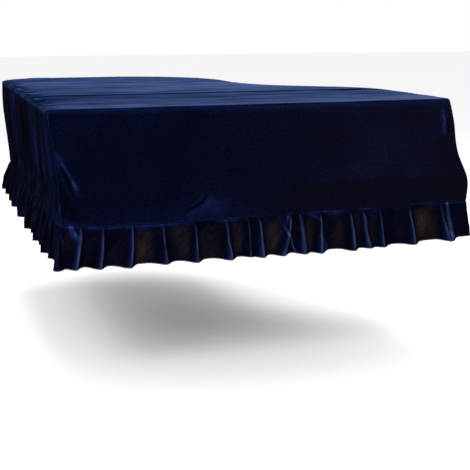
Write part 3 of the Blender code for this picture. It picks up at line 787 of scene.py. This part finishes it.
WALL_ROWS = 84
WALL_VELVET = dye_velvet(Velvet(
    "wall_velvet", clouds=0.08, strokes=0.05, crushed=0.16,
    grazing=0.06, sheen=0.004, stretch=(9.0, 4.0, 1.0), bump=0.45,
))
for wall in WALLS:
    s, level = np.meshgrid(columns(wall, wall.step), np.linspace(0.0, 1.0, WALL_ROWS))
    to_seam = hang(s, "seam_drop") * (1 - level)
    drop = hang(s, "seam_drop") * level
    relief, nap, warm = wall_looks(s, level, drop)
    skin = push_out(lambda at: hanging(at, level, 0.0, 0.0), s, relief, to_seam)
    name = f"velvet_wall_{wall.side}"
    places = np.stack([s, -drop], -1).reshape(-1, 2)
    marks = {"nap": nap, "warm": warm}
    faces = grid_faces(*s.shape)
    hung = cut_cloth(name, skin.reshape(-1, 3), faces, places, marks, WALL_VELVET)
    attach(hung, "root")
    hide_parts(f"wall_{wall.side}")

# The frill: four strips of the same velvet, each a quarter as long again as the wall that it is
# gathered on and sewn to. So it stands in pleats, which start pinched under the seam and open
# towards a narrow rolled hem.
PLEAT_RISE = 0.32
PLEAT_FALL = 0.16
PLEAT_REST = 0.007
SEAM_PLEAT = 0.35
FRILL_NAP = 0.17
FRILL_DEPTH = 0.13
HEM_DIP = 0.34
# A pleat's crest at the seam and at the hem, its depth and its run-out to each side, the width
# and strength of the highlight painted along its crest and of the light painted on the bank before it,
# and how much warm light is painted on the flat behind it, and where.
Pleat = namedtuple("Pleat", "seam hem depth rise fall line shine warm where")
FRONT_PLEATS = (
    Pleat(-0.677, -0.704, 0.024, 0.030, 0.015, 0.0022, 1.00, 0.15, 0.50),
    Pleat(-0.605, -0.623, 0.021, 0.030, 0.014, 0.0020, 0.85, 0.22, 0.50),
    Pleat(-0.506, -0.522, 0.023, 0.036, 0.014, 0.0022, 0.90, 0.80, 0.28),
    Pleat(-0.401, -0.395, 0.018, 0.032, 0.016, 0.0018, 0.65, 0.90, 0.66),
    Pleat(-0.290, -0.287, 0.021, 0.034, 0.015, 0.0020, 0.90, 0.50, 0.35),
    Pleat(-0.179, -0.168, 0.022, 0.034, 0.016, 0.0022, 1.00, 0.50, 0.50),
    Pleat(-0.100, -0.095, 0.009, 0.018, 0.012, 0.0018, 0.42, 0.10, 0.50),
    Pleat(-0.058, -0.051, 0.022, 0.022, 0.016, 0.0022, 0.90, 0.70, 0.45),
    Pleat(0.057, 0.024, 0.022, 0.030, 0.016, 0.0022, 1.00, 0.35, 0.50),
    Pleat(0.094, 0.104, 0.020, 0.024, 0.020, 0.0055, 1.00, 0.45, 0.30),
    Pleat(0.170, 0.167, 0.024, 0.026, 0.018, 0.0024, 0.95, 0.30, 0.50),
    Pleat(0.286, 0.294, 0.023, 0.034, 0.016, 0.0026, 0.95, 0.65, 0.50),
    Pleat(0.336, 0.358, 0.014, 0.020, 0.018, 0.0035, 0.85, 0.40, 0.50),
    Pleat(0.403, 0.412, 0.016, 0.022, 0.014, 0.0018, 0.75, 0.10, 0.50),
    Pleat(0.519, 0.528, 0.021, 0.034, 0.015, 0.0020, 0.80, 1.00, 0.38),
    Pleat(0.642, 0.665, 0.014, 0.022, 0.012, 0.0020, 0.75, 0.10, 0.50),
    Pleat(0.666, 0.678, 0.016, 0.014, 0.015, 0.0060, 1.00, 0.10, 0.50),
)
# The bass side's pleats: how far behind the front, the depth, and the room each one has
Step = namedtuple("Step", "behind depth pitch")
BASS_PLEATS = (
    Step(0.000, 0.028, 0.09),
    Step(0.105, 0.012, 0.08),
    Step(0.190, 0.025, 0.09),
    Step(0.270, 0.012, 0.08),
    Step(0.355, 0.025, 0.09),
    Step(0.460, 0.013, 0.10),
    Step(0.576, 0.026, 0.11),
    Step(0.690, 0.013, 0.11),
    Step(0.810, 0.025, 0.12),
    Step(0.945, 0.013, 0.12),
    Step(1.080, 0.025, 0.11),
    Step(1.160, 0.012, 0.08),
    Step(1.240, 0.024, 0.09),
    Step(1.330, 0.012, 0.09),
    Step(1.420, 0.024, 0.09),
    Step(1.500, 0.012, 0.08),
    Step(1.580, 0.024, 0.09),
)


def all_pleats():
    """Every pleat in order round the rim, with places as lengths from the front bass corner."""
    rows = [p._replace(seam=p.seam + LID_HALF, hem=p.hem + LID_HALF) for p in FRONT_PLEATS]
    for behind, depth, pitch in BASS_PLEATS:
        rise, fall = PLEAT_RISE * pitch, PLEAT_FALL * pitch
        place = ROUND - behind
        hem = place + 0.018 * math.sin(37.0 * behind) * smooth(behind / 0.2)
        seen = {"line": 0.0022, "shine": 0.06, "warm": 0.12, "where": 0.5}
        rows.append(Pleat(place, hem, depth, rise, fall, **seen))
    for wall in WALLS[1:3]:
        found, leans = spread(wall, PLEATS_ON[wall.side], depth=0.022, width=None)
        for (place, depth, pitch), lean in zip(found, leans):
            rise, fall = PLEAT_RISE * pitch, PLEAT_FALL * pitch
            seen = {"line": 0.0022, "shine": 0.8, "warm": 0.4 + 20.0 * lean, "where": 0.5}
            rows.append(Pleat(place, place + lean, depth, rise, fall, **seen))
    return sorted(rows)


PLEATS = all_pleats()


def from_crest(s, pleat, share):
    """How far s is past the pleat's crest, which drifts sideways mostly low down."""
    return signed_gap(s, pleat.seam + (pleat.hem - pleat.seam) * share**1.5)


def pleat_height(s, share):
    """How far the pleats stand out, share of the way from the seam to the hem."""
    height = 0.0
    opening = SEAM_PLEAT + (1 - SEAM_PLEAT) * share
    for pleat in PLEATS:
        gap = from_crest(s, pleat, share)
        height = height + pleat.depth * bell(gap, np.where(gap < 0, pleat.rise, pleat.fall) * opening)
    return (height - PLEAT_REST) * np.sin(np.pi / 2 * share) ** 1.3


def hem_dip(s):
    """How far the hem hangs down under each pleat of the front."""
    gaps = [(pleat, signed_gap(s, pleat.hem - 0.004)) for pleat in PLEATS]
    wave = sum(pleat.depth * bell(gap, np.where(gap < 0, 0.036, 0.022)) for pleat, gap in gaps)
    return HEM_DIP * wave * (1 - on_sides(s))


def pleat_looks(s, share, below, away):
    """Each pleat's pinched crest, the highlight painted along it, the light painted on the bank before it,
    the shade painted just behind it, and the warm light painted on the flat behind it.
    """
    crest, crest_highlight, warm = 0.0, 0.0, 0.0
    nap = FRILL_NAP + 0.11 * crumple(s, below, 0.030, 0.060, seed=69)
    uneven = 0.78 + 0.42 * crumple(s, below, 0.017, 0.024, seed=65)
    wobble = 0.0022 * crumple(s, below, 0.030, 0.034, seed=70) * away
    bank_width = 0.006 + 0.018 * share
    for pleat, following in zip(PLEATS, PLEATS[1:] + PLEATS[:1]):
        gap = from_crest(s + wobble, pleat, share)
        to_next = -from_crest(s, following, share)
        line = bell(gap, pleat.line * (1.0 + 0.4 * share))
        bank = smooth(1 + gap / bank_width) * (gap <= 0)
        thin = min(1.0, 0.0024 / pleat.line)
        crest = np.maximum(crest, line)
        crest_highlight = np.maximum(crest_highlight, pleat.shine * uneven * line * (0.80 + 0.20 * share) * thin)
        nap = np.maximum(nap, 1.1 * (1 - thin) * pleat.shine * line)
        nap = nap + 0.62 * pleat.shine * bank * (0.30 + 0.70 * share) * (1 - line)
        nap = nap - 0.20 * bell(gap - 0.007, 0.004)
        flat = smooth((gap - 0.006) / 0.020) * smooth((to_next - bank_width) / 0.020)
        along = gap / np.maximum(gap + to_next, 0.001)
        warm = np.maximum(warm, 1.25 * pleat.warm * flat * bell(along - pleat.where, 0.30))
    return crest, nap, crest_highlight * away, warm * away


def frill_looks(s, share, below):
    """Pinched crests, gathers, slanted wrinkles and the hem, with the pile and the light, shade and warm
    light painted on each.
    """
    sides = on_sides(s)
    drop = below + hang(s, "seam_drop")
    away = smooth(below / 0.02)
    off_corner = smooth(np.minimum(s % ROUND, ROUND - s % ROUND) / 0.02)
    wrinkles = crumple(s - below, s + 0.8 * below, 0.034, 0.0085, seed=63)
    wrinkles = off_corner * (wrinkles + 0.5 * crumple(s - below, s + 0.9 * below, 0.018, 0.0050, seed=64))
    crest, nap, crest_highlight, warm = pleat_looks(s, share, below, away)
    tall, shine = stroke_looks(s, drop)
    crinkles = sides * away * side_crinkles(s, drop)
    height = 0.0028 * crest + 0.0011 * wrinkles * (1 - crest)
    height += 0.0028 * crumple(s, share, 0.018, 1.4, seed=61) * (1 - 0.6 * share)
    height += 0.0014 * crumple(s, share, 0.009, 0.8, seed=62) * (1 - 0.7 * share)
    height = away * height + tall * smooth(below / 0.008) + 0.0030 * crinkles
    to_hem = (1 - share) * FRILL_DEPTH
    height += 0.0014 * bell(to_hem - 0.002, 0.0022) - 0.0010 * bell(to_hem - 0.007, 0.003)
    gleam = (1 - 0.8 * sides) * (0.16 + 0.30 * smooth(crumple(s, 0, 0.07, 1.0, seed=68) + 0.35))
    nap = nap + shine + gleam * bell(below, 0.008) + 0.06 * wrinkles + 0.42 * crinkles
    patchy = (0.62 + 0.45 * crumple(s, below, 0.028, 0.045, seed=67)) * (1.0 + 0.45 * wrinkles)
    warm = warm * patchy * np.sin(np.pi * (0.1 + 0.8 * share)) + 0.05 * sides
    return height + seam_puckers(s, below), {"nap": nap, "warm": warm, "crest_highlight": crest_highlight}


FRILL_VELVET = dye_velvet(Velvet(
    "frill_velvet", clouds=0.06, strokes=0.06, crushed=0.18,
    grazing=0.10, sheen=0.008, stretch=(6.0, 16.0, 1.0), bump=0.45,
))
# The first row is the seam allowance, turned up behind the wall
FRILL_ROWS = np.concatenate([[-0.011], np.linspace(0.0, 0.90, 26), np.linspace(0.915, 1.0, 8)])
FRILL_STEPS = {"front": 0.0021, "treble": 0.0036, "tail": 0.0036, "bass": 0.0028}
FRILL_FULLNESS = 1.25
FRILL_CUT = 0.145
BEHIND_WALL = 0.0026
for wall in WALLS:
    s, tucked = np.meshgrid(columns(wall, FRILL_STEPS[wall.side]), FRILL_ROWS)
    share = np.maximum(tucked, 0.0)
    below = (hang(s, "hem_drop") - hang(s, "seam_drop")) * share
    relief, marks = frill_looks(s, share, below)
    relief = relief - BEHIND_WALL * (tucked < 0)
    marks["turned"] = smooth((share - 0.975) / 0.015)

    def pleated(at):
        return hanging(at, 1 + tucked, pleat_height(at, share), hem_dip(at))

    skin = push_out(pleated, s, relief, below)
    name = f"velvet_frill_{wall.side}"
    places = np.stack([s, -below], -1).reshape(-1, 2)
    faces = grid_faces(*s.shape)
    frill = cut_cloth(name, skin.reshape(-1, 3), faces, places, marks, FRILL_VELVET)
    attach(frill, "root")
    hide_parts(f"frill_{wall.side}")
    flat = (wall.flat[0] * FRILL_FULLNESS, FRILL_CUT)

# The studio: a pale floor a metre below the top, soft boxes in front and above, and a camera
# left of the middle and a little above the lid.
bpy.ops.object.select_all(action="DESELECT")
bpy.ops.mesh.primitive_plane_add(size=60.0, location=(0.0, 0.0, -1.0))
floor = bpy.context.object
floor.name = "floor"
bpy.ops.object.transform_apply(location=True)
paper = bpy.data.materials.new("floor_paper")
paper.use_nodes = True
shader = paper.node_tree.nodes["Principled BSDF"]
shader.inputs["Base Color"].default_value = (0.9, 0.9, 0.9, 1.0)
shader.inputs["Roughness"].default_value = 0.95
floor.data.materials.append(paper)

world = bpy.data.worlds.new("studio")
world.use_nodes = True
sky = world.node_tree.nodes["Background"]
sky.inputs["Color"].default_value = (1.0, 1.0, 1.0, 1.0)
sky.inputs["Strength"].default_value = 1.0
bpy.context.scene.world = world
bpy.context.scene.view_settings.view_transform = "Standard"

SoftBox = namedtuple("SoftBox", "name place target size power")
SOFT_BOXES = (
    SoftBox("key", (-3.2, -4.6, 2.6), (0.0, -0.6, -0.25), 2.0, 280.0),
    SoftBox("fill", (3.4, -3.6, 1.4), (0.2, -0.6, -0.25), 2.4, 50.0),
    SoftBox("above", (0.0, 1.6, 3.0), (0.0, 0.0, 0.0), 3.0, 140.0),
)


def aim(lamp, place, target):
    """Put a lamp at a place, shining towards a target."""
    away = np.array(place) - np.array(target)
    lamp.location = place
    flat = math.hypot(away[0], away[1])
    lamp.rotation_euler = (math.atan2(flat, away[2]), 0.0, math.atan2(away[0], -away[1]))


for box in SOFT_BOXES:
    light = bpy.data.lights.new(box.name, "AREA")
    light.size = box.size
    light.energy = box.power
    lamp = bpy.data.objects.new(box.name, light)
    bpy.context.scene.collection.objects.link(lamp)
    aim(lamp, box.place, box.target)

# The camera as fitted to the lid's outline. Its focal length is a share of the picture's width.
CAMERA_PLACE = (-1.2197, -4.226, 0.307)
CAMERA_DOWN = math.radians(12.075)
CAMERA_TURN = math.radians(18.109)
FOCAL_SHARE = 1027.5 / 470
camera = bpy.data.cameras.new("camera")
camera.sensor_width = 36.0
camera.lens = camera.sensor_width * FOCAL_SHARE
stand = bpy.data.objects.new("camera", camera)
stand.location = CAMERA_PLACE
stand.rotation_euler = (math.pi / 2 - CAMERA_DOWN, 0.0, -CAMERA_TURN)
bpy.context.scene.collection.objects.link(stand)
bpy.context.scene.camera = stand

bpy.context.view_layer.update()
